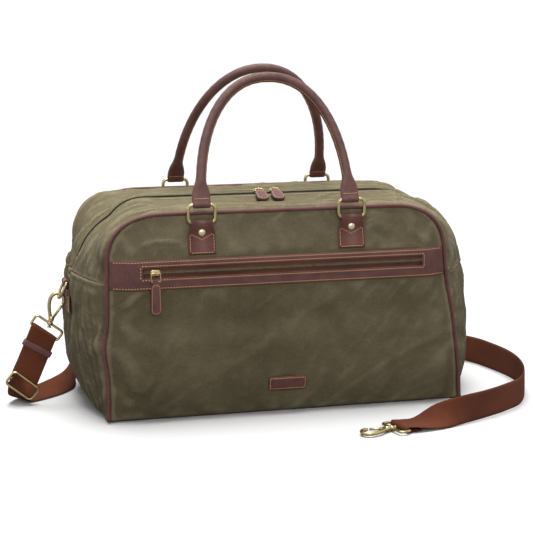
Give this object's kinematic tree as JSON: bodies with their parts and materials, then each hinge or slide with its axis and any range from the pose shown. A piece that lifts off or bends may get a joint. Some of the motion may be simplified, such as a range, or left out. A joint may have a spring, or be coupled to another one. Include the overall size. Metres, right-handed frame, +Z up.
{
  "type": "weekender bag",
  "caption": "Soft canvas travel holdall with leather trim, rounded carry handles on rings, a zipped front pocket, a zipped top and a clip-on webbing shoulder strap.",
  "frame": {"origin": "on the floor under the middle of the bag's base", "axes": "+X along the length of the bag to the right as seen from the front, +Y from the pocket face to the back face, +Z up"},
  "size_m": [0.7152, 0.4215, 0.4491],
  "materials": {
    "canvas": "matt olive canvas, lightly waxed",
    "leather": "dark red-brown pebbled leather, semi-matt, tan stitching",
    "lining": "plain woven cotton",
    "board": "stiff dark plastic sheet",
    "zip_tape": "dark woven tape with dull bronze teeth",
    "brass": "antique, lightly brushed",
    "webbing": "ribbed red-brown webbing",
    "rope": "twisted cotton cord"
  },
  "bodies": {
    "bag": {"front_panel": "canvas", "back_panel": "canvas", "base_panel": "canvas", "side_panel_left": "canvas", "side_panel_right": "canvas", "top_panel_front": "canvas", "top_panel_back": "canvas", "piping_front": "leather", "piping_back": "leather", "pocket_band": "leather", "label_patch": "leather", "side_tab_left": "leather", "side_tab_right": "leather", "strap_keeper": "leather", "base_board": "board", "lining": "lining", "pocket_pouch": "lining", "pocket_zip_upper": "zip_tape", "pocket_zip_lower": "zip_tape", "main_zip_front": "zip_tape", "main_zip_back": "zip_tape", "hook_loop_left": "brass", "hook_loop_free": "brass", "strap_webbing": "webbing", "handle_patch_front_left": "leather", "handle_rivet_front_left": "brass", "handle_patch_front_right": "leather", "handle_rivet_front_right": "brass", "handle_patch_back_left": "leather", "handle_rivet_back_left": "brass", "handle_patch_back_right": "leather", "handle_rivet_back_right": "brass"},
    "pocket_slider": {"pocket_slider": "brass"},
    "pocket_pull": {"pocket_pull_link": "brass", "pocket_puller": "leather"},
    "main_slider_left": {"main_slider_left": "brass"},
    "main_pull_left": {"main_pull_link_left": "brass", "main_puller_left": "leather"},
    "main_slider_right": {"main_slider_right": "brass"},
    "main_pull_right": {"main_pull_link_right": "brass", "main_puller_right": "leather"},
    "front_ring_left": {"handle_ring_front_left": "brass"},
    "front_ring_right": {"handle_ring_front_right": "brass"},
    "front_handle": {"handle_cover_front": "leather", "handle_core_front": "rope"},
    "back_ring_left": {"handle_ring_back_left": "brass"},
    "back_ring_right": {"handle_ring_back_right": "brass"},
    "back_handle": {"handle_cover_back": "leather", "handle_core_back": "rope"},
    "d_ring_left": {"d_ring_left": "brass"},
    "d_ring_right": {"d_ring_right": "brass"},
    "hook_left": {"hook_left": "brass"},
    "gate_left": {"hook_gate_left": "brass"},
    "hook_free": {"hook_free": "brass"},
    "gate_free": {"hook_gate_free": "brass"},
    "strap_adjuster": {"strap_adjuster": "brass"}
  },
  "joints": [
    {"name": "front_ring_left_hinge", "type": "hinge", "parent": "bag", "child": "front_ring_left", "pos_m": [-0.1065, -0.1202, 0.26], "axis": [1, 0, 0], "range_deg": [0, 150]},
    {"name": "front_ring_right_hinge", "type": "hinge", "parent": "bag", "child": "front_ring_right", "pos_m": [0.0925, -0.1202, 0.26], "axis": [1, 0, 0], "range_deg": [0, 150]},
    {"name": "front_handle_hinge", "type": "hinge", "parent": "front_ring_left", "child": "front_handle", "pos_m": [-0.007, -0.1202, 0.283], "axis": [1, 0, 0], "range_deg": [-12, 38]},
    {"name": "back_ring_left_hinge", "type": "hinge", "parent": "bag", "child": "back_ring_left", "pos_m": [-0.097, 0.1202, 0.26], "axis": [-1, 0, 0], "range_deg": [0, 150]},
    {"name": "back_ring_right_hinge", "type": "hinge", "parent": "bag", "child": "back_ring_right", "pos_m": [0.113, 0.1202, 0.26], "axis": [-1, 0, 0], "range_deg": [0, 150]},
    {"name": "back_handle_hinge", "type": "hinge", "parent": "back_ring_left", "child": "back_handle", "pos_m": [0.008, 0.1202, 0.283], "axis": [-1, 0, 0], "range_deg": [-12, 49]},
    {"name": "pocket_zip_slide", "type": "slide", "parent": "bag", "child": "pocket_slider", "axis": [1, 0, 0], "range_m": [0, 0.345]},
    {"name": "pocket_pull_hinge", "type": "hinge", "parent": "pocket_slider", "child": "pocket_pull", "pos_m": [-0.168, -0.1286, 0.1985], "axis": [-1, 0, 0], "range_deg": [0, 100]},
    {"name": "main_zip_slide_left", "type": "slide", "parent": "bag", "child": "main_slider_left", "axis": [-1, 0, 0], "range_m": [0, 0.122]},
    {"name": "main_pull_hinge_left", "type": "hinge", "parent": "main_slider_left", "child": "main_pull_left", "pos_m": [-0.004, 0, 0.2828], "axis": [-1, 0, 0], "range_deg": [0, 150]},
    {"name": "main_zip_slide_right", "type": "slide", "parent": "bag", "child": "main_slider_right", "axis": [1, 0, 0], "range_m": [0, 0.12]},
    {"name": "main_pull_hinge_right", "type": "hinge", "parent": "main_slider_right", "child": "main_pull_right", "pos_m": [0.018, 0, 0.2828], "axis": [-1, 0, 0], "range_deg": [0, 150]},
    {"name": "d_ring_left_hinge", "type": "hinge", "parent": "bag", "child": "d_ring_left", "pos_m": [-0.26908, 0, 0.167], "axis": [0, 1, 0], "range_deg": [-5, 5]},
    {"name": "d_ring_right_hinge", "type": "hinge", "parent": "bag", "child": "d_ring_right", "pos_m": [0.28331, 0, 0.167], "axis": [0, -1, 0], "range_deg": [0, 150]},
    {"name": "hook_left_swivel", "type": "hinge", "parent": "bag", "child": "hook_left", "pos_m": [-0.29028, 0, 0.11398], "axis": [0.2588, 0, 0.9659], "range_deg": [-10, 10]},
    {"name": "gate_left_hinge", "type": "hinge", "parent": "hook_left", "child": "gate_left", "pos_m": [-0.28632, 0, 0.11871], "axis": [0, -1, 0], "range_deg": [0, 20]},
    {"name": "hook_free_swivel", "type": "hinge", "parent": "bag", "child": "hook_free", "pos_m": [0.1115, -0.232, 0.0046], "axis": [-0.96, -0.28, 0], "continuous": true},
    {"name": "gate_free_hinge", "type": "hinge", "parent": "hook_free", "child": "gate_free", "pos_m": [0.1054, -0.23107, 0.0046], "axis": [0, 0, 1], "range_deg": [0, 20]},
    {"name": "strap_adjuster_slide", "type": "slide", "parent": "bag", "child": "strap_adjuster", "axis": [0.3998, 0, 0.9166], "range_m": [0, 0.03]}
  ],
  "couplings": [
    {"joint": "front_ring_right_hinge", "follows": "front_ring_left_hinge", "ratio": 1},
    {"joint": "back_ring_right_hinge", "follows": "back_ring_left_hinge", "ratio": 1}
  ]
}
